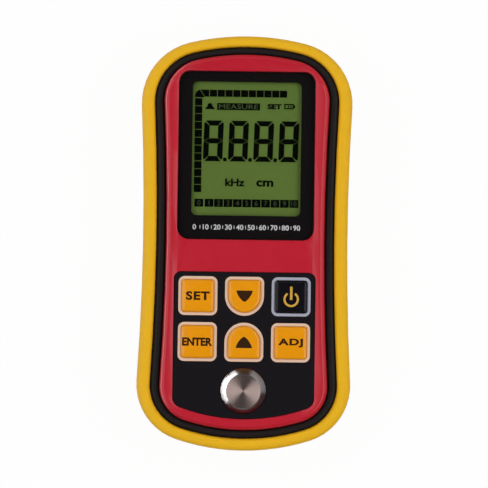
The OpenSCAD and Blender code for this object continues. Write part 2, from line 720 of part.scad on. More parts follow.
// Ferrite transformer that makes the transmit pulse: base, winding and flange in one potted block
module pulse_transformer() {
  color("saddlebrown") translate([part_x, view_y + part_y, 0]) union() {
    chip(0, 0, 1.2 * core_d, core_d, 0.2 * core_h);
    translate([0, 0, board_bottom_z - 0.9 * core_h]) cylinder(d = 0.75 * core_d, h = 0.8 * core_h);
    translate([0, 0, board_bottom_z - core_h]) cylinder(d = core_d, h = 0.2 * core_h);
  }
}

// Sounder with its sound hole
module buzzer() {
  color("black") translate([-part_x, view_y - part_y, board_bottom_z - buzzer_h]) difference() {
    cylinder(d = buzzer_d, h = buzzer_h);
    translate([0, 0, -1]) cylinder(d = buzzer_d / 6, h = buzzer_h / 4 + 1);
  }
}

// Metal shell of a probe socket: body on the board, barrel through the case wall, stepped bore
module socket_shell(side) {
  body_h = board_bottom_z - socket_z + socket_body_w / 2;
  color("silver") difference() {
    union() {
      translate([side * socket_pitch / 2, socket_body_y, board_bottom_z])
        translate([-socket_body_w / 2, -socket_body_l, -body_h]) cube([socket_body_w, socket_body_l, body_h]);
      socket_bar(side, socket_barrel_d, socket_body_y - eps, socket_end_y);
    }
    socket_bar(side, socket_bore_d, socket_front_y, socket_end_y + 1);
    socket_bar(side, insulator_d + 2 * pin_gap, socket_back_y, socket_front_y + 1);
  }
}

module socket_insulator(side) {
  color("white") difference() {
    socket_bar(side, insulator_d, socket_back_y, socket_front_y - fit);
    socket_bar(side, contact_d + 2 * pin_gap, socket_back_y - 1, socket_front_y + 1);
  }
}

// Gilt centre contact, drilled for the plug's pin
module socket_contact(side) {
  color("goldenrod") difference() {
    socket_bar(side, contact_d, socket_back_y, socket_front_y - fit);
    socket_bar(side, contact_d / 2, socket_front_y - 3, socket_front_y + 1);
  }
}

// Dry cell along the length: sleeve, crimped shoulder and nub; up is 1 where the nub points to the top
module battery_cell(column, up) {
  can_l = cell_l - cell_nub_l;
  can_r = cell_d / 2;
  y_low = up > 0 ? bay_y0 + contact_t + spring_l : bay_y0 + contact_t + contact_bump;
  color("steelblue") translate([column * cell_pitch, y_low + (up > 0 ? 0 : cell_l), cell_z])
    rotate([up > 0 ? -90 : 90, 0, 0]) rotate_extrude()
      polygon([[0, 0], [can_r - 0.5, 0], [can_r, 0.5], [can_r, can_l - 0.8], [can_r - 0.8, can_l],
        [cell_nub_r, can_l], [cell_nub_r, cell_l], [0, cell_l]]);
}

// Sheet contact on an end wall of the bay: end is 1 at the top and -1 at the bottom
module contact_sheet(end, x0, x1) {
  sheet_w = 0.75 * cell_d;
  y = end > 0 ? bay_y1 - contact_t : bay_y0;
  translate([x0 - sheet_w / 2, y, cell_z - sheet_w / 2]) cube([x1 - x0 + sheet_w, contact_t, sheet_w]);
}

// Pressed bump that meets a cell's nub
module contact_nub(end, x) {
  y = end > 0 ? bay_y1 - contact_t : bay_y0 + contact_t;
  translate([x, y, cell_z]) rotate([end > 0 ? 90 : -90, 0, 0])
    translate([0, 0, -contact_t / 2]) cylinder(d1 = 4.4, d2 = 3, h = contact_bump + contact_t / 2);
}

// Conical spring that presses on a cell's base
module contact_spring(end, x) {
  y = end > 0 ? bay_y1 - contact_t : bay_y0 + contact_t;
  translate([x, y, cell_z]) rotate([end > 0 ? 90 : -90, 0, 0])
    translate([0, 0, -spring_wire_d / 3]) coil(3.6, 2.4, spring_l + spring_wire_d / 3, spring_wire_d, 3);
}

module contact_positive() {
  color("lightgray") union() {
    contact_sheet(1, -cell_pitch, -cell_pitch);
    contact_nub(1, -cell_pitch);
  }
}

module contact_negative() {
  color("lightgray") union() {
    contact_sheet(-1, cell_pitch, cell_pitch);
    contact_spring(-1, cell_pitch);
  }
}

module contact_bridge_top() {
  color("lightgray") union() {
    contact_sheet(1, 0, cell_pitch);
    contact_spring(1, 0);
    contact_nub(1, cell_pitch);
  }
}

module contact_bridge_bottom() {
  color("lightgray") union() {
    contact_sheet(-1, -cell_pitch, 0);
    contact_spring(-1, -cell_pitch);
    contact_nub(-1, 0);
  }
}

// Battery door: plate with a hinge bead and pins at the top, a thumb notch and grip ribs at the bottom
module battery_door() {
  rib_w = 0.5 * door_w;
  color("dimgray") difference() {
    union() {
      intersection() {
        translate([0, (door_y0 + hinge_y + door_r) / 2, 0])
          prism(round_rect(door_w, hinge_y - door_y0 + door_r, door_r), back_pad_z, back_pad_z + door_t);
        translate([-door_w, door_y0 - 1, 0]) cube([2 * door_w, hinge_y - door_y0 + 1, boot_h]);
      }
      translate([-door_w / 2, hinge_y, hinge_z]) rotate([0, 90, 0]) cylinder(d = door_bead_d, h = door_w);
      translate([-door_w / 2 - hinge_pin_l, hinge_y, hinge_z]) rotate([0, 90, 0])
        cylinder(d = hinge_pin_d, h = door_w + 2 * hinge_pin_l);
    }
    translate([0, door_y0 + 2 * door_r, back_pad_z - 1]) intersection() {
      cylinder(d = 4 * door_r, h = 1.7);
      translate([-2 * door_r, -2 * door_r, 0]) cube([4 * door_r, 2 * door_r, 3]);
    }
    for (i = [0:3]) translate([-rib_w / 2, door_y0 + 3 * door_r + 2.4 * i, back_pad_z - 1])
      cube([rib_w, 1, 1.4]);
  }
}

module case_screws() {
  color("silver") at_screws() translate([0, 0, screw_seat_z]) difference() {
    union() {
      translate([0, 0, -screw_head_h]) cylinder(d = screw_head_d, h = screw_head_h);
      translate([0, 0, -eps]) cylinder(d = screw_d, h = screw_l + eps);
    }
    for (a = [0, 90]) rotate([0, 0, a])
      translate([-screw_head_d / 3, -0.4, -screw_head_h - 1]) cube([screw_head_d * 2 / 3, 0.8, 2]);
  }
}

module board_screws() {
  head_h = 0.6 * board_screw_d;
  slot_w = 0.3 * board_screw_d;
  color("silver") at_posts() translate([0, 0, board_bottom_z]) difference() {
    union() {
      translate([0, 0, -head_h]) cylinder(d = 1.9 * board_screw_d, h = head_h);
      translate([0, 0, -eps]) cylinder(d = board_screw_d, h = board_screw_l + eps);
    }
    for (a = [0, 90]) rotate([0, 0, a])
      translate([-board_screw_d / 2, -slot_w / 2, -1.5 * head_h]) cube([board_screw_d, slot_w, head_h]);
  }
}

rubber_boot();
front_case();
rear_case();
front_panel();
window_gasket();
display_window();
keypad_cover();
calibration_block();
key("set", "orange");  // key_set
key("down", "orange");  // key_down
key("power", "black");  // key_power
key("enter", "orange");  // key_enter
key("up", "orange");  // key_up
key("adjust", "orange");  // key_adjust
switch_plunger("set");  // switch_plunger_set
switch_plunger("down");  // switch_plunger_down
switch_plunger("power");  // switch_plunger_power
switch_plunger("enter");  // switch_plunger_enter
switch_plunger("up");  // switch_plunger_up
switch_plunger("adjust");  // switch_plunger_adjust
switch_bodies();
display_glass();
display_holder();
backlight_panel();
contact_strips();
circuit_board();
processor_chip();
receiver_chip();
crystal_can();
pulse_transformer();
buzzer();
socket_shell(-1);  // socket_shell_left
socket_shell(1);  // socket_shell_right
socket_insulator(-1);  // socket_insulator_left
socket_insulator(1);  // socket_insulator_right
socket_contact(-1);  // socket_contact_left
socket_contact(1);  // socket_contact_right
battery_cell(-1, 1);  // battery_cell_1
battery_cell(0, -1);  // battery_cell_2
battery_cell(1, 1);  // battery_cell_3
contact_positive();
contact_negative();
contact_bridge_top();
contact_bridge_bottom();
battery_door();
case_screws();
board_screws();
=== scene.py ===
import math

import bmesh
import bpy
from mathutils import Matrix, Vector


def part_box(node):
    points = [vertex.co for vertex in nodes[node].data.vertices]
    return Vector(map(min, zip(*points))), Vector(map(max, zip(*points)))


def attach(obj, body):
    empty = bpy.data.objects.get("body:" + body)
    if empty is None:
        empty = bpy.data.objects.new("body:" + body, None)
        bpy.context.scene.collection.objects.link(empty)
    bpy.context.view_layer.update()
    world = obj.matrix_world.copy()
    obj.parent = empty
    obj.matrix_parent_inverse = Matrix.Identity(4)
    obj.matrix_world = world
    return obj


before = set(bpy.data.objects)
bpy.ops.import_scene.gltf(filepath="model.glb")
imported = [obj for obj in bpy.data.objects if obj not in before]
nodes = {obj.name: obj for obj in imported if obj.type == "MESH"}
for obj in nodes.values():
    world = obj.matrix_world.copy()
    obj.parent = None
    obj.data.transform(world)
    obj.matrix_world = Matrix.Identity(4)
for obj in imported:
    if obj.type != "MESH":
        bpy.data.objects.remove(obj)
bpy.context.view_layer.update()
scene = bpy.context.scene
MM = 0.001


def middle(node):
    """The middle of a node's box across the front, in millimetres."""
    low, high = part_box(node)
    return (low.x + high.x) / 2 / MM, (low.y + high.y) / 2 / MM


# Levels and places, read from the frame in millimetres
FACE_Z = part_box("keypad_cover")[1].z / MM
GLASS_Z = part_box("display_glass")[1].z / MM
GASKET_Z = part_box("window_gasket")[1].z / MM
KEY_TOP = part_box("key_set")[1].z / MM
WINDOW_Y0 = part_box("display_window")[0].y / MM
VIEW_X, VIEW_Y = middle("display_glass")
BLOCK_X, BLOCK_Y = middle("calibration_block")
KEYS = {k: middle("key_" + k) for k in ("set", "down", "power", "enter", "up", "adjust")}


def lin(r, g, b):
    """A screen colour from 0 to 255 as the linear colour that the shaders take."""
    def channel(v):
        v /= 255
        return v / 12.92 if v <= 0.04045 else ((v + 0.055) / 1.055) ** 2.4
    return channel(r), channel(g), channel(b), 1.0


def shade(colour, k):
    """A colour made lighter or darker by a factor."""
    return tuple(min(1.0, c * k) for c in colour[:3]) + (1.0,)


def feed(tree, target, inputs):
    """Gives each named input of a node a constant or another node's output."""
    for name, value in inputs.items():
        if isinstance(value, bpy.types.NodeSocket):
            tree.links.new(value, target.inputs[name])
        else:
            target.inputs[name].default_value = value


def add_node(tree, kind, inputs, **settings):
    """A new node with its settings and inputs."""
    made = tree.nodes.new(kind)
    for name, value in settings.items():
        setattr(made, name, value)
    feed(tree, made, inputs)
    return made


def new_material(name):
    """A new material with its tree and its shader."""
    mat = bpy.data.materials.new(name)
    mat.use_nodes = True
    return mat, mat.node_tree, mat.node_tree.nodes["Principled BSDF"]


# Materials
ROUGH_SPREAD, LEAST_ROUGH = 0.05, 0.02
MOTTLE_DETAIL, GRAIN_DETAIL, GRAIN_DEPTH = 4, 3, 0.00005


def material(name, colour, rough, spread, mottle, bump, grain, specular, metallic):
    """Moulded or coated surface: colour and roughness vary softly, and a fine bump breaks up the gloss."""
    mat, tree, shader = new_material(name)
    place = add_node(tree, "ShaderNodeTexCoord", {}).outputs["Object"]
    spots = {"Vector": place, "Scale": mottle, "Detail": MOTTLE_DETAIL}
    noise = add_node(tree, "ShaderNodeTexNoise", spots).outputs["Fac"]
    colour = lin(*colour)
    tones = {"Factor": noise, "A": shade(colour, 1 - spread), "B": shade(colour, 1 + spread)}
    tone = add_node(tree, "ShaderNodeMix", tones, data_type="RGBA").outputs["Result"]
    low = max(LEAST_ROUGH, rough - ROUGH_SPREAD)
    high = min(1.0, rough + ROUGH_SPREAD)
    roughs = {"Value": noise, "To Min": low, "To Max": high}
    span = add_node(tree, "ShaderNodeMapRange", roughs).outputs["Result"]
    feed(tree, shader, {"Base Color": tone, "Roughness": span})
    feed(tree, shader, {"Specular IOR Level": specular, "Metallic": metallic})
    if bump:
        fine = {"Vector": place, "Scale": grain, "Detail": GRAIN_DETAIL}
        height = add_node(tree, "ShaderNodeTexNoise", fine).outputs["Fac"]
        relief = {"Strength": bump, "Distance": GRAIN_DEPTH, "Height": height}
        feed(tree, shader, {"Normal": add_node(tree, "ShaderNodeBump", relief).outputs["Normal"]})
    return mat


# Each finish: name, screen colour, roughness, tone spread, mottle scale, bump, grain scale, specular level
FINISHES = {
    "rubber": ("yellow_rubber_grain", (230, 176, 14), 0.68, 0.05, 260, 0.35, 3000, 0.25),
    "shell": ("black_shell_texture", (24, 19, 19), 0.5, 0.12, 700, 0.3, 5200, 0.14),
    "red": ("red_panel_lacquer", (186, 19, 41), 0.32, 0.05, 220, 0.08, 2400, 0.32),
    "cover": ("black_cover_film", (17, 14, 18), 0.5, 0.1, 500, 0.2, 6000, 0.08),
    "gasket": ("black_gasket_foam", (16, 13, 14), 0.8, 0.15, 900, 0.2, 6000, 0.05),
    "key": ("orange_key_lacquer", (232, 149, 1), 0.24, 0.05, 500, 0.08, 3500, 0.32),
    "power": ("black_key_lacquer", (11, 10, 16), 0.24, 0.1, 500, 0.1, 3500, 0.18),
    "border": ("cream_key_print", (222, 188, 163), 0.6, 0.03, 900, 0, 0, 0.2),
    "border_grey": ("grey_key_print", (166, 168, 182), 0.6, 0.03, 900, 0, 0, 0.2),
    "legend": ("brown_key_print", (52, 28, 8), 0.7, 0.05, 900, 0, 0, 0.08),
    "ochre": ("ochre_key_print", (206, 158, 60), 0.6, 0.05, 900, 0, 0, 0.2),
    "white_print": ("white_window_print", (205, 205, 208), 0.5, 0.03, 900, 0, 0, 0.5),
    "segment": ("dark_display_segment", (4, 7, 3), 0.7, 0.1, 500, 0, 0, 0.0),
    "ghost": ("pale_display_segment", (50, 62, 41), 0.7, 0.05, 500, 0, 0, 0.05),
    "label": ("green_display_label", (64, 79, 44), 0.7, 0.05, 500, 0, 0, 0.05),
    "display": ("green_display_film", (80, 103, 36), 0.55, 0.04, 120, 0, 0, 0.2),
    "white": ("white_moulding", (214, 214, 206), 0.5, 0.04, 500, 0.15, 4000, 0.5),
    "board": ("green_board_mask", (28, 98, 52), 0.35, 0.12, 900, 0.15, 5000, 0.5),
    "chip": ("black_chip_moulding", (24, 24, 25), 0.55, 0.1, 900, 0.2, 6000, 0.5),
    "strip": ("grey_elastomer", (120, 120, 124), 0.7, 0.1, 900, 0.2, 5000, 0.5),
    "ferrite": ("brown_ferrite", (98, 62, 44), 0.65, 0.12, 900, 0.2, 5000, 0.5),
    "nickel": ("nickel_plate", (196, 194, 188), 0.28, 0.06, 900, 0.1, 5000, 0.5),
    "gilt": ("gilt_plate", (226, 180, 92), 0.25, 0.06, 900, 0.1, 5000, 0.5),
    "sleeve": ("blue_cell_sleeve", (60, 104, 160), 0.35, 0.05, 300, 0.1, 3000, 0.5),
    "screw": ("zinc_screw", (176, 178, 180), 0.36, 0.08, 900, 0.15, 5000, 0.5),
}
METALS = ("nickel", "gilt", "screw")
M = {key: material(*finish, 1.0 if key in METALS else 0.0) for key, finish in FINISHES.items()}

# Turned steel: the two tones and roughnesses of the rings on the face, and the finer chamfer, whose darker
# tone is painted shade
RING_DARK, RING_LIGHT, CHAMFER_SHADED_TONE = lin(148, 130, 125), lin(165, 146, 141), lin(126, 125, 125)
RING_SMOOTH, RING_ROUGH, CHAMFER_ROUGH = 0.32, 0.44, 0.26
RING_SCALE, RING_DETAIL, RING_BUMP, RING_DEPTH = 9000, 3, 0.06, 0.00004
CHAMFER_UP, FACE_UP = 0.78, 0.95
CHAMFER_STRETCH, FACE_STRETCH = 0.1, 0.95


def turned_steel():
    """Steel faced on a lathe: fine rings round its axis stretch the highlights along the radius."""
    mat, tree, shader = new_material("turned_steel")
    place = add_node(tree, "ShaderNodeTexCoord", {}).outputs["Object"]
    centred = {"Vector": place, "Location": (-BLOCK_X * MM, -BLOCK_Y * MM, 0)}
    shift = add_node(tree, "ShaderNodeMapping", centred).outputs["Vector"]
    level = {0: shift, 1: (1, 1, 0)}
    flat = add_node(tree, "ShaderNodeVectorMath", level, operation="MULTIPLY").outputs["Vector"]
    radius = add_node(tree, "ShaderNodeVectorMath", {0: flat}, operation="LENGTH").outputs["Value"]
    fine = {"W": radius, "Scale": RING_SCALE, "Detail": RING_DETAIL}
    rings = add_node(tree, "ShaderNodeTexNoise", fine, noise_dimensions="1D").outputs["Fac"]
    tones = {"Factor": rings, "A": RING_DARK, "B": RING_LIGHT}
    tone = add_node(tree, "ShaderNodeMix", tones, data_type="RGBA").outputs["Result"]
    roughs = {"Value": rings, "To Min": RING_SMOOTH, "To Max": RING_ROUGH}
    span = add_node(tree, "ShaderNodeMapRange", roughs).outputs["Result"]
    # The chamfer is finished finer than the face, and its darker tone is painted shade: the normal tells
    # them apart
    normal = add_node(tree, "ShaderNodeNewGeometry", {}).outputs["True Normal"]
    up = add_node(tree, "ShaderNodeSeparateXYZ", {"Vector": normal}).outputs["Z"]
    parts = {"Value": up, "From Min": CHAMFER_UP, "From Max": FACE_UP}
    face = add_node(tree, "ShaderNodeMapRange", parts).outputs["Result"]
    pulls = {"Value": face, "To Min": CHAMFER_STRETCH, "To Max": FACE_STRETCH}
    stretch = add_node(tree, "ShaderNodeMapRange", pulls).outputs["Result"]
    # Painted shade: the sloped chamfer takes a darker, greyer tone than the flat face
    colours = {"Factor": face, "A": CHAMFER_SHADED_TONE, "B": tone}
    colour = add_node(tree, "ShaderNodeMix", colours, data_type="RGBA").outputs["Result"]
    gloss = {"Factor": face, "A": CHAMFER_ROUGH, "B": span}
    rough = add_node(tree, "ShaderNodeMix", gloss).outputs["Result"]
    outward = add_node(tree, "ShaderNodeVectorMath", {0: flat}, operation="NORMALIZE").outputs["Vector"]
    relief = {"Strength": RING_BUMP, "Distance": RING_DEPTH, "Height": rings}
    bump = add_node(tree, "ShaderNodeBump", relief).outputs["Normal"]
    feed(tree, shader, {"Metallic": 1.0, "Base Color": colour, "Roughness": rough})
    feed(tree, shader, {"Anisotropic": stretch, "Tangent": outward, "Normal": bump})
    return mat


LENS_TINT, LENS_IOR = (0.97, 0.98, 0.97, 1), 1.2
LENS_MOTTLE, LENS_SMOOTH, LENS_ROUGH = 60, 0.02, 0.05


def clear_lens():
    """Clear plastic with a faint unevenness in its gloss."""
    mat, tree, shader = new_material("clear_window_lens")
    feed(tree, shader, {"Base Color": LENS_TINT, "Transmission Weight": 1.0, "IOR": LENS_IOR})
    place = add_node(tree, "ShaderNodeTexCoord", {}).outputs["Object"]
    noise = add_node(tree, "ShaderNodeTexNoise", {"Vector": place, "Scale": LENS_MOTTLE}).outputs["Fac"]
    roughs = {"Value": noise, "To Min": LENS_SMOOTH, "To Max": LENS_ROUGH}
    feed(tree, shader, {"Roughness": add_node(tree, "ShaderNodeMapRange", roughs).outputs["Result"]})
    return mat


M["steel"] = turned_steel()
M["lens"] = clear_lens()

PAINT = {
    "rubber_boot": "rubber", "front_case": "shell", "rear_case": "shell", "battery_door": "shell",
    "front_panel": "red", "window_gasket": "gasket", "display_window": "lens", "keypad_cover": "cover",
    "calibration_block": "steel", "switch_bodies": "chip", "display_glass": "display",
    "display_holder": "white", "backlight_panel": "white", "contact_strips": "strip",
    "circuit_board": "board", "processor_chip": "chip", "receiver_chip": "chip",
    "crystal_can": "nickel", "pulse_transformer": "ferrite", "buzzer": "chip",
    "socket_shell_left": "nickel", "socket_shell_right": "nickel", "socket_insulator_left": "white",
    "socket_insulator_right": "white", "socket_contact_left": "gilt", "socket_contact_right": "gilt",
    "battery_cell_1": "sleeve", "battery_cell_2": "sleeve", "battery_cell_3": "sleeve",
    "contact_positive": "nickel", "contact_negative": "nickel", "contact_bridge_top": "nickel",
    "contact_bridge_bottom": "nickel", "case_screws": "screw", "board_screws": "screw",
}
for k in KEYS:
    PAINT["key_" + k] = "power" if k == "power" else "key"
    PAINT["switch_plunger_" + k] = "white"
for name, obj in nodes.items():
    obj.data.materials.clear()
    obj.data.materials.append(M[PAINT[name]])

# Edges: corners closer than JOIN metres are one, and an edge that bends by more than SHARP is not smoothed
JOIN, SHARP, BEVEL_SEGMENTS = 2e-6, math.radians(32.0), 2
BEVELS = {"keypad_cover": 0.12, "display_window": 0.18, "calibration_block": 0.1, "battery_door": 0.2}


def soften(name):
    """Joins a node's coincident corners and shades it smooth between its sharp edges; BEVELS rounds some."""
    group = bpy.data.node_groups.new("soften_" + name, "GeometryNodeTree")
    group.interface.new_socket("Geometry", in_out="INPUT", socket_type="NodeSocketGeometry")
    group.interface.new_socket("Geometry", in_out="OUTPUT", socket_type="NodeSocketGeometry")
    start = add_node(group, "NodeGroupInput", {}).outputs[0]
    near = {"Geometry": start, "Distance": JOIN}
    joined = add_node(group, "GeometryNodeMergeByDistance", near).outputs["Geometry"]
    smooth = add_node(group, "GeometryNodeSetShadeSmooth", {"Geometry": joined}).outputs["Geometry"]
    bend = add_node(group, "GeometryNodeInputMeshEdgeAngle", {}).outputs["Unsigned Angle"]
    angles = {"A": bend, "B": SHARP}
    over = add_node(group, "FunctionNodeCompare", angles, operation="GREATER_THAN").outputs["Result"]
    crisp = {"Geometry": smooth, "Selection": over, "Shade Smooth": False}
    done = add_node(group, "GeometryNodeSetShadeSmooth", crisp, domain="EDGE").outputs["Geometry"]
    add_node(group, "NodeGroupOutput", {0: done})
    nodes[name].modifiers.new("soften", "NODES").node_group = group
    if name in BEVELS:
        edge = nodes[name].modifiers.new("edge", "BEVEL")
        edge.width = BEVELS[name] * MM
        edge.segments = BEVEL_SEGMENTS
        edge.limit_method = "ANGLE"
        edge.angle_limit = SHARP
        edge.harden_normals = False
        edge.use_clamp_overlap = True


for name in nodes:
    soften(name)
nodes["display_window"].visible_shadow = False
nodes["display_window"].visible_diffuse = False

# Printed and etched pieces: flat shapes of these thicknesses on the surface that carries them
KEY_PRINT, BORDER_FILM, SCALE_PRINT, ETCH, LABEL_FILM = 0.03, 0.04, 0.02, 0.05, 0.01


def piece(name, polygons, z, thick, mat, body, holes=False):
    """Prisms over lists of (x, y) in millimetres; with holes, each entry is an outer and an inner loop."""
    bm = bmesh.new()
    for poly in polygons:
        loops = poly if holes else (poly,)
        rings = []
        for loop in loops:
            low = [bm.verts.new((x * MM, y * MM, z * MM)) for x, y in loop]
            high = [bm.verts.new((x * MM, y * MM, (z + thick) * MM)) for x, y in loop]
            rings.append((low, high))
            count = len(loop)
            for i in range(count):
                j = (i + 1) % count
                bm.faces.new((low[i], low[j], high[j], high[i]))
        if holes:
            (low, high), (low_in, high_in) = rings
            count = len(low)
            for i in range(count):
                j = (i + 1) % count
                bm.faces.new((high[i], high[j], high_in[j], high_in[i]))
                bm.faces.new((low[j], low[i], low_in[i], low_in[j]))
        else:
            low, high = rings[0]
            bm.faces.new(high)
            bm.faces.new(list(reversed(low)))
    bmesh.ops.recalc_face_normals(bm, faces=bm.faces)
    mesh = bpy.data.meshes.new(name)
    bm.to_mesh(mesh)
    bm.free()
    mesh.materials.append(M[mat])
    obj = bpy.data.objects.new(name, mesh)
    scene.collection.objects.link(obj)
    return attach(obj, body)


CURVE_STEPS, SAME_POINT = 4, 1e-7


def words(name, text, x, y, z, height, mat, body, thick, width=None, bold=0.0, spacing=1.0):
    """A line of plain lettering centred on x, y, as high as asked, and as wide where a width is given."""
    curve = bpy.data.curves.new(name + "_outline", "FONT")
    curve.body = text
    curve.align_x = "CENTER"
    curve.align_y = "CENTER"
    curve.space_character = spacing
    curve.offset = bold
    curve.resolution_u = CURVE_STEPS
    obj = bpy.data.objects.new(name + "_outline", curve)
    scene.collection.objects.link(obj)
    bpy.context.view_layer.update()
    mesh = bpy.data.meshes.new_from_object(obj.evaluated_get(bpy.context.evaluated_depsgraph_get()))
    bpy.data.objects.remove(obj)
    bpy.data.curves.remove(curve)
    mesh.name = name
    xs = [v.co.x for v in mesh.vertices]
    ys = [v.co.y for v in mesh.vertices]
    ky = height / (max(ys) - min(ys))
    kx = width / (max(xs) - min(xs)) if width else ky
    move = Vector((-(max(xs) + min(xs)) / 2, -(max(ys) + min(ys)) / 2, 0))
    for v in mesh.vertices:
        p = v.co + move
        v.co = Vector(((x + p.x * kx) * MM, (y + p.y * ky) * MM, z * MM))
    bm = bmesh.new()
    bm.from_mesh(mesh)
    bmesh.ops.remove_doubles(bm, verts=bm.verts, dist=SAME_POINT)
    top = bmesh.ops.extrude_face_region(bm, geom=list(bm.faces))
    raised = [part for part in top["geom"] if isinstance(part, bmesh.types.BMVert)]
    bmesh.ops.translate(bm, vec=(0, 0, thick * MM), verts=raised)
    bmesh.ops.recalc_face_normals(bm, faces=bm.faces)
    bm.to_mesh(mesh)
    bm.free()
    mesh.materials.clear()
    mesh.materials.append(M[mat])
    obj = bpy.data.objects.new(name, mesh)
    scene.collection.objects.link(obj)
    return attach(obj, body)


def arc(cx, cy, r, a0, a1, steps):
    """Points on a circle from one angle to another, in degrees."""
    angles = [math.radians(a0 + (a1 - a0) * i / steps) for i in range(steps + 1)]
    return [(cx + r * math.cos(a), cy + r * math.sin(a)) for a in angles]


def rect(x0, y0, x1, y1):
    return [(x0, y0), (x1, y0), (x1, y1), (x0, y1)]


def placed(loop, x, y):
    """A loop moved to a place."""
    return [(x + a, y + b) for a, b in loop]


# Key borders: a film on the cover plate, from just inside each key's opening to just past its flange
REACH, KEY_R, BORDER, OVERHANG = 0.15, 2.15, 0.9, 0.1
KEY_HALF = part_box("key_set")[1].x / MM - KEYS["set"][0] + REACH
CORNER_STEPS, ROUND_STEPS = 10, 30


def key_loop(kind, half, r):
    """A square with round corners, or one with a half round at its lower or upper end."""
    flat = half - r
    upper = arc(flat, flat, r, 0, 90, CORNER_STEPS) + arc(-flat, flat, r, 90, 180, CORNER_STEPS)
    if kind == "square":
        lower = arc(-flat, -flat, r, 180, 270, CORNER_STEPS) + arc(flat, -flat, r, 270, 360, CORNER_STEPS)
    else:
        lower = arc(0, 0, half, 180, 360, ROUND_STEPS)
    loop = upper + lower
    return [(-x, -y) for x, y in loop] if kind == "up" else loop


for k, (kx, ky) in KEYS.items():
    kind = k if k in ("down", "up") else "square"
    inset = BORDER + OVERHANG
    outer = placed(key_loop(kind, KEY_HALF, KEY_R), kx, ky)
    inner = placed(key_loop(kind, KEY_HALF - inset, KEY_R - inset), kx, ky)
    tone = "border_grey" if k == "power" else "border"
    film = piece("key_border_" + k, [(outer, inner)], FACE_Z, BORDER_FILM, tone, "case", holes=True)

# Key legends: text, height, width, boldness and spacing of each word
LEGENDS = {
    "set": ("SET", 3.1, 8.3, 0.042, 1.15),
    "enter": ("ENTER", 2.9, 10.5, 0.045, 1.0),
    "adjust": ("ADJ", 3.1, 8.6, 0.042, 1.15),
}
for k, (text, height, width, bold, spacing) in LEGENDS.items():
    words("legend_" + k, text, *KEYS[k], KEY_TOP, height, "legend", "key_" + k, KEY_PRINT,
          width, bold, spacing)

# Wedges with bowed flanks on the down and up keys
WEDGE_HALF_W, WEDGE_HALF_H, WEDGE_STEPS = 2.85, 2.0, 12
WEDGE_BOW, WEDGE_TIP = 1.5, 0.75
flank = []
for i in range(WEDGE_STEPS + 1):
    share = i / WEDGE_STEPS
    half_w = WEDGE_HALF_W * (1 - share ** WEDGE_BOW) ** WEDGE_TIP
    flank.append((half_w, WEDGE_HALF_H - 2 * WEDGE_HALF_H * share))
wedge = flank + [(-x, y) for x, y in reversed(flank[:-1])]
turned = [(-x, -y) for x, y in wedge]
piece("mark_down", [placed(wedge, *KEYS["down"])], KEY_TOP, KEY_PRINT, "legend", "key_down")
piece("mark_up", [placed(turned, *KEYS["up"])], KEY_TOP, KEY_PRINT, "legend", "key_up")

# Power sign: an open ring, in short pieces, and a bar
POWER_DROP, POWER_OUT, POWER_IN, POWER_STEPS = 0.84, 2.7, 1.98, 40
POWER_FROM, POWER_TO = 124, 416
POWER_BAR = (-0.42, -1.05, 0.42, 3.6)
outer = arc(0, -POWER_DROP, POWER_OUT, POWER_FROM, POWER_TO, POWER_STEPS)
inner = arc(0, -POWER_DROP, POWER_IN, POWER_FROM, POWER_TO, POWER_STEPS)
power = [[outer[i], outer[i + 1], inner[i + 1], inner[i]] for i in range(POWER_STEPS)]
power.append(rect(*POWER_BAR))
power = [placed(loop, *KEYS["power"]) for loop in power]
piece("mark_power", power, KEY_TOP, KEY_PRINT, "ochre", "key_power")

# Plain scale of numbers on the window's lower border, in place of a name
SCALE_Y = WINDOW_Y0 + 4.3
SCALE_COUNT, SCALE_PITCH, NUMBER_H, NUMBER_BOLD = 10, 4.0, 1.9, 0.02
TICK_HALF_W, TICK_HALF_H = 0.1, 0.6
tick = rect(-TICK_HALF_W, -TICK_HALF_H, TICK_HALF_W, TICK_HALF_H)
ticks = []
for i in range(SCALE_COUNT):
    x = SCALE_PITCH * (i - (SCALE_COUNT - 1) / 2)
    words("scale_number_%d" % i, str(10 * i), x, SCALE_Y, GASKET_Z, NUMBER_H, "white_print", "case",
          SCALE_PRINT, bold=NUMBER_BOLD)
    if i < SCALE_COUNT - 1:
        ticks.append(placed(tick, x + SCALE_PITCH / 2, SCALE_Y))
piece("scale_ticks", ticks, GASKET_Z, SCALE_PRINT, "white_print", "case")


# Display: bars, digits, units and memory boxes etched on the glass, in millimetres from its middle


def etched(name, polygons):
    """Dark shapes on the display's glass."""
    polygons = [placed(loop, VIEW_X, VIEW_Y) for loop in polygons]
    return piece(name, polygons, GLASS_Z, ETCH, "segment", "case")


def pale_words(name, text, x, y, height, mat, width=None):
    """Pale lettering on top of a dark box."""
    return words(name, text, VIEW_X + x, VIEW_Y + y, GLASS_Z + ETCH, height, mat, "case", LABEL_FILM, width)


# Row of bars along the top, column of bars down the left side, and two cells that turn the corner
BAR_GAP = 0.2
ROW_COUNT, ROW_PITCH, ROW_LEFT, ROW_LOW, ROW_HIGH = 10, 2.745, -13.2, 18.4, 20.85
COLUMN_COUNT, COLUMN_PITCH, COLUMN_LEFT, COLUMN_RIGHT, COLUMN_TOP = 12, 2.78, -18.4, -15.8, 17.8
bars = []
for i in range(ROW_COUNT):
    x0 = ROW_LEFT + i * ROW_PITCH
    bars.append(rect(x0, ROW_LOW, x0 + ROW_PITCH - BAR_GAP, ROW_HIGH))
row_end = ROW_LEFT - BAR_GAP
bars.append([(-16.5, ROW_HIGH), (-14.95, ROW_LOW), (row_end, ROW_LOW), (row_end, ROW_HIGH)])
bars.append([(COLUMN_LEFT, 18.1), (-15.1, 18.1), (-15.1, 18.3), (-16.7, 20.82)]
            + arc(-16.4, 18.8, 2.0, 100, 178, 8))
for i in range(COLUMN_COUNT):
    y1 = COLUMN_TOP - i * COLUMN_PITCH
    bars.append(rect(COLUMN_LEFT, y1 - COLUMN_PITCH + BAR_GAP, COLUMN_RIGHT, y1))
etched("display_bars", bars)

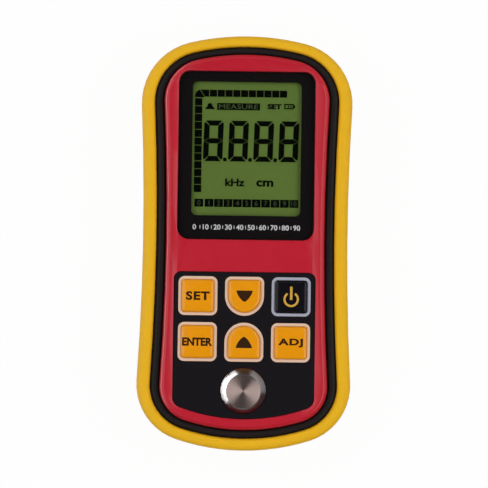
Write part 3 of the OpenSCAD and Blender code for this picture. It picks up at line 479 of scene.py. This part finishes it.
# Digits: their place, pitch and size, the thickness of upright and level segments, and their lean
DIGIT_COUNT, DIGIT_PITCH, DIGIT_X, DIGIT_Y = 4, 8.87, -15.2, -4.4
DIGIT_W, DIGIT_H, UPRIGHT, LEVEL, LEAN = 6.9, 14.4, 1.97, 1.85, 0.028
SEGMENT_GAP, CORNER_CUT, MITRE = 0.09, 0.45, 0.05
POINT_LEFT, POINT_RIGHT, POINT_H = 6.98, 8.22, 1.3


def digit(x):
    """Seven segments with mitred ends, from the digit's left side."""
    low, high = DIGIT_Y, DIGIT_Y + DIGIT_H
    half = DIGIT_Y + DIGIT_H / 2
    right = x + DIGIT_W

    def leaning(points):
        return [(px + (py - half) * LEAN, py) for px, py in points]

    def uprights(tip, corner, inner, outer):
        cut = CORNER_CUT if corner > tip else -CORNER_CUT
        left = [(x, tip), (x + UPRIGHT, inner), (x + UPRIGHT, outer),
                (x + CORNER_CUT, corner - cut), (x, corner - 2 * cut)]
        mirrored = [(x + right - px, py) for px, py in reversed(left)]
        return [leaning(left), leaning(mirrored)]

    def level(y0, y1, inset0, inset1):
        return [leaning([(x + inset0, y0), (right - inset0, y0), (right - inset1, y1), (x + inset1, y1)])]

    g = SEGMENT_GAP
    long_inset = g + CORNER_CUT
    short_inset = UPRIGHT + g - MITRE
    lower = uprights(half - g, low + g, half - LEVEL / 2 - g, low + LEVEL + g)
    upper = uprights(half + g, high - g, half + LEVEL / 2 + g, high - LEVEL - g)
    bottom = level(low, low + LEVEL, long_inset, short_inset)
    top = level(high - LEVEL, high, short_inset, long_inset)
    inner_left, inner_right = x + UPRIGHT, right - UPRIGHT
    under, over = half - LEVEL / 2, half + LEVEL / 2
    waist = leaning([(x + g, half), (inner_left, under), (inner_right, under),
                     (right - g, half), (inner_right, over), (inner_left, over)])
    return lower + upper + bottom + top + [waist]


figures = []
for i in range(DIGIT_COUNT):
    x0 = DIGIT_X + i * DIGIT_PITCH
    figures += digit(x0)
    if i < DIGIT_COUNT - 1:
        figures.append(rect(x0 + POINT_LEFT, DIGIT_Y, x0 + POINT_RIGHT, DIGIT_Y + POINT_H))
etched("display_figures", figures)

# Units under the digits and a label above them: text, place, height, width and boldness of each word
DARK_WORDS = {
    "display_wave_unit": ("kHz", -3.95, -11.8, 2.7, 6.9, 0.034),
    "display_length_unit": ("cm", 6.6, -12.05, 2.25, 6.0, 0.034),
    "display_mode_label": ("SET", 9.7, 15.15, 1.9, 5.0, 0.055),
}
for name, (text, x, y, height, width, bold) in DARK_WORDS.items():
    words(name, text, VIEW_X + x, VIEW_Y + y, GLASS_Z, height, "segment", "case", ETCH, width, bold)

# A word in a dark box, and the sign of a probe
MODE_BOX = (-10.6, 13.75, 4.55, 16.2)
etched("display_mode_box", [rect(*MODE_BOX)])
pale_words("display_mode_word", "MEASURE", -3.0, 14.97, 1.65, "label", width=13.8)
BRIM, BRIM_LOW, BRIM_HIGH, DOME, DOME_LOW = 1.55, -1.05, -0.45, 0.92, -0.1
probe = [(-BRIM, BRIM_LOW), (BRIM, BRIM_LOW), (BRIM, BRIM_HIGH), (DOME, DOME_LOW)]
probe += arc(0, 0.2, DOME, 0, 180, 10)
probe += [(-DOME, DOME_LOW), (-BRIM, BRIM_HIGH)]
etched("display_probe_mark", [placed(probe, -13.1, 15.0)])

# Battery sign: an outline, its end and two bars of charge, from its lower left corner
CELL_X, CELL_Y = 13.1, 14.3
outline = [placed(loop, VIEW_X + CELL_X, VIEW_Y + CELL_Y)
           for loop in (rect(0, 0, 3.4, 1.9), rect(0.45, 0.45, 2.95, 1.45))]
piece("display_cell_outline", [outline], GLASS_Z, ETCH, "segment", "case", holes=True)
charge = [rect(3.4, 0.5, 3.85, 1.4), rect(1.3, 0.6, 1.75, 1.3), rect(2.1, 0.6, 2.55, 1.3)]
etched("display_cell_charge", [placed(loop, CELL_X, CELL_Y) for loop in charge])

# Numbered memory boxes along the bottom; the first stands a little apart
BOX_Y, BOX_W, BOX_H, BOX_PITCH, BOX_NUMBER_H = -20.5, 3.1, 2.8, 3.32, 1.8
FIRST_BOX_X, SECOND_BOX_X = -18.1, -14.5
places = [("0", FIRST_BOX_X)] + [(str(i + 1), SECOND_BOX_X + i * BOX_PITCH) for i in range(10)]
etched("display_memory_boxes", [rect(x, BOX_Y, x + BOX_W, BOX_Y + BOX_H) for _, x in places])
for text, x in places:
    pale_words("display_memory_" + text, text, x + BOX_W / 2, BOX_Y + BOX_H / 2, BOX_NUMBER_H, "ghost")

# Floor: it takes shadows, and camera, glossy and transmitted rays see it almost white
FLOOR_SIZE, FLOOR_Z, FLOOR_GLOW = 6, -0.00002, 0.95
bpy.ops.mesh.primitive_plane_add(size=FLOOR_SIZE, location=(0, 0, FLOOR_Z))
floor = bpy.context.object
floor.name = "floor"
floor_white, tree, plain = new_material("floor_white")
feed(tree, plain, {"Base Color": (0.9, 0.9, 0.9, 1), "Roughness": 0.9, "Specular IOR Level": 0.1})
glow = add_node(tree, "ShaderNodeEmission", {"Color": (1, 1, 1, 1), "Strength": 1.0}).outputs["Emission"]
rays = add_node(tree, "ShaderNodeLightPath", {})
seen = rays.outputs["Is Camera Ray"]
for ray in ("Is Glossy Ray", "Is Transmission Ray"):
    either = add_node(tree, "ShaderNodeMath", {0: seen, 1: rays.outputs[ray]}, operation="MAXIMUM")
    seen = either.outputs["Value"]
part = add_node(tree, "ShaderNodeMath", {0: seen, 1: FLOOR_GLOW}, operation="MULTIPLY").outputs["Value"]
surfaces = {"Fac": part, 1: plain.outputs["BSDF"], 2: glow}
mixed = add_node(tree, "ShaderNodeMixShader", surfaces).outputs["Shader"]
feed(tree, tree.nodes["Material Output"], {"Surface": mixed})
floor.data.materials.append(floor_white)

# World and lamps
world = bpy.data.worlds.new("studio")
scene.world = world
world.use_nodes = True
feed(world.node_tree, world.node_tree.nodes["Background"], {"Color": (1, 1, 1, 1), "Strength": 0.05})


def softbox(name, at, aim, size, power):
    """A rectangular lamp of that size in metres and power in watts, turned to its aim."""
    light = bpy.data.lights.new(name, "AREA")
    light.shape = "RECTANGLE"
    light.size, light.size_y = size
    light.energy = power
    obj = bpy.data.objects.new(name, light)
    obj.location = at
    obj.rotation_euler = (Vector(aim) - Vector(at)).to_track_quat("-Z", "Y").to_euler()
    scene.collection.objects.link(obj)
    return obj


BOX_AIM, CARD_AIM = (0, 0, 0.02), (0, -0.02, 0.03)
softbox("left_box", (-0.64, 0.05, 0.84), BOX_AIM, (1.3, 1.0), 8.0)
softbox("right_box", (0.7, -0.05, 0.87), BOX_AIM, (1.2, 0.8), 8.1)
softbox("top_box", (0.0, 0.95, 0.85), BOX_AIM, (0.9, 0.5), 1.3)
softbox("low_box", (0.0, -0.95, 0.85), BOX_AIM, (0.9, 0.5), 0.6)
# Two low cards show in gloss only: plain surfaces take no light from them
for card in (softbox("left_card", (-0.78, 0.18, 0.075), CARD_AIM, (2.2, 0.11), 13.0),
             softbox("right_card", (0.68, 0.34, 0.13), CARD_AIM, (1.2, 0.24), 1.3)):
    card.visible_diffuse = False

# Camera: nearly straight above the front, with the photo's scale and slight tilt and roll
TILT, ROLL, DIST = math.radians(1.2), math.radians(0.8), 0.600
PX_PER_MM, AIM = 2.852, Vector((-0.00043, -0.00041, 0.02825))
PHOTO_PX, SENSOR_MM = 488, 36
cam = bpy.data.cameras.new("camera")
cam.sensor_fit = "HORIZONTAL"
cam.sensor_width = SENSOR_MM
cam.lens = PX_PER_MM * (DIST / MM) / PHOTO_PX * SENSOR_MM
cam.clip_start, cam.clip_end = 0.01, 20
eye = bpy.data.objects.new("camera", cam)
back = Vector((0, -math.sin(TILT), math.cos(TILT)))
up = Vector((-math.sin(ROLL), math.cos(ROLL), 0))
right = up.cross(back).normalized()
up = back.cross(right)
turn = Matrix((right, up, back)).transposed().to_4x4()
eye.matrix_world = Matrix.Translation(AIM + back * DIST) @ turn
scene.collection.objects.link(eye)
scene.camera = eye
scene.view_settings.view_transform = "Standard"
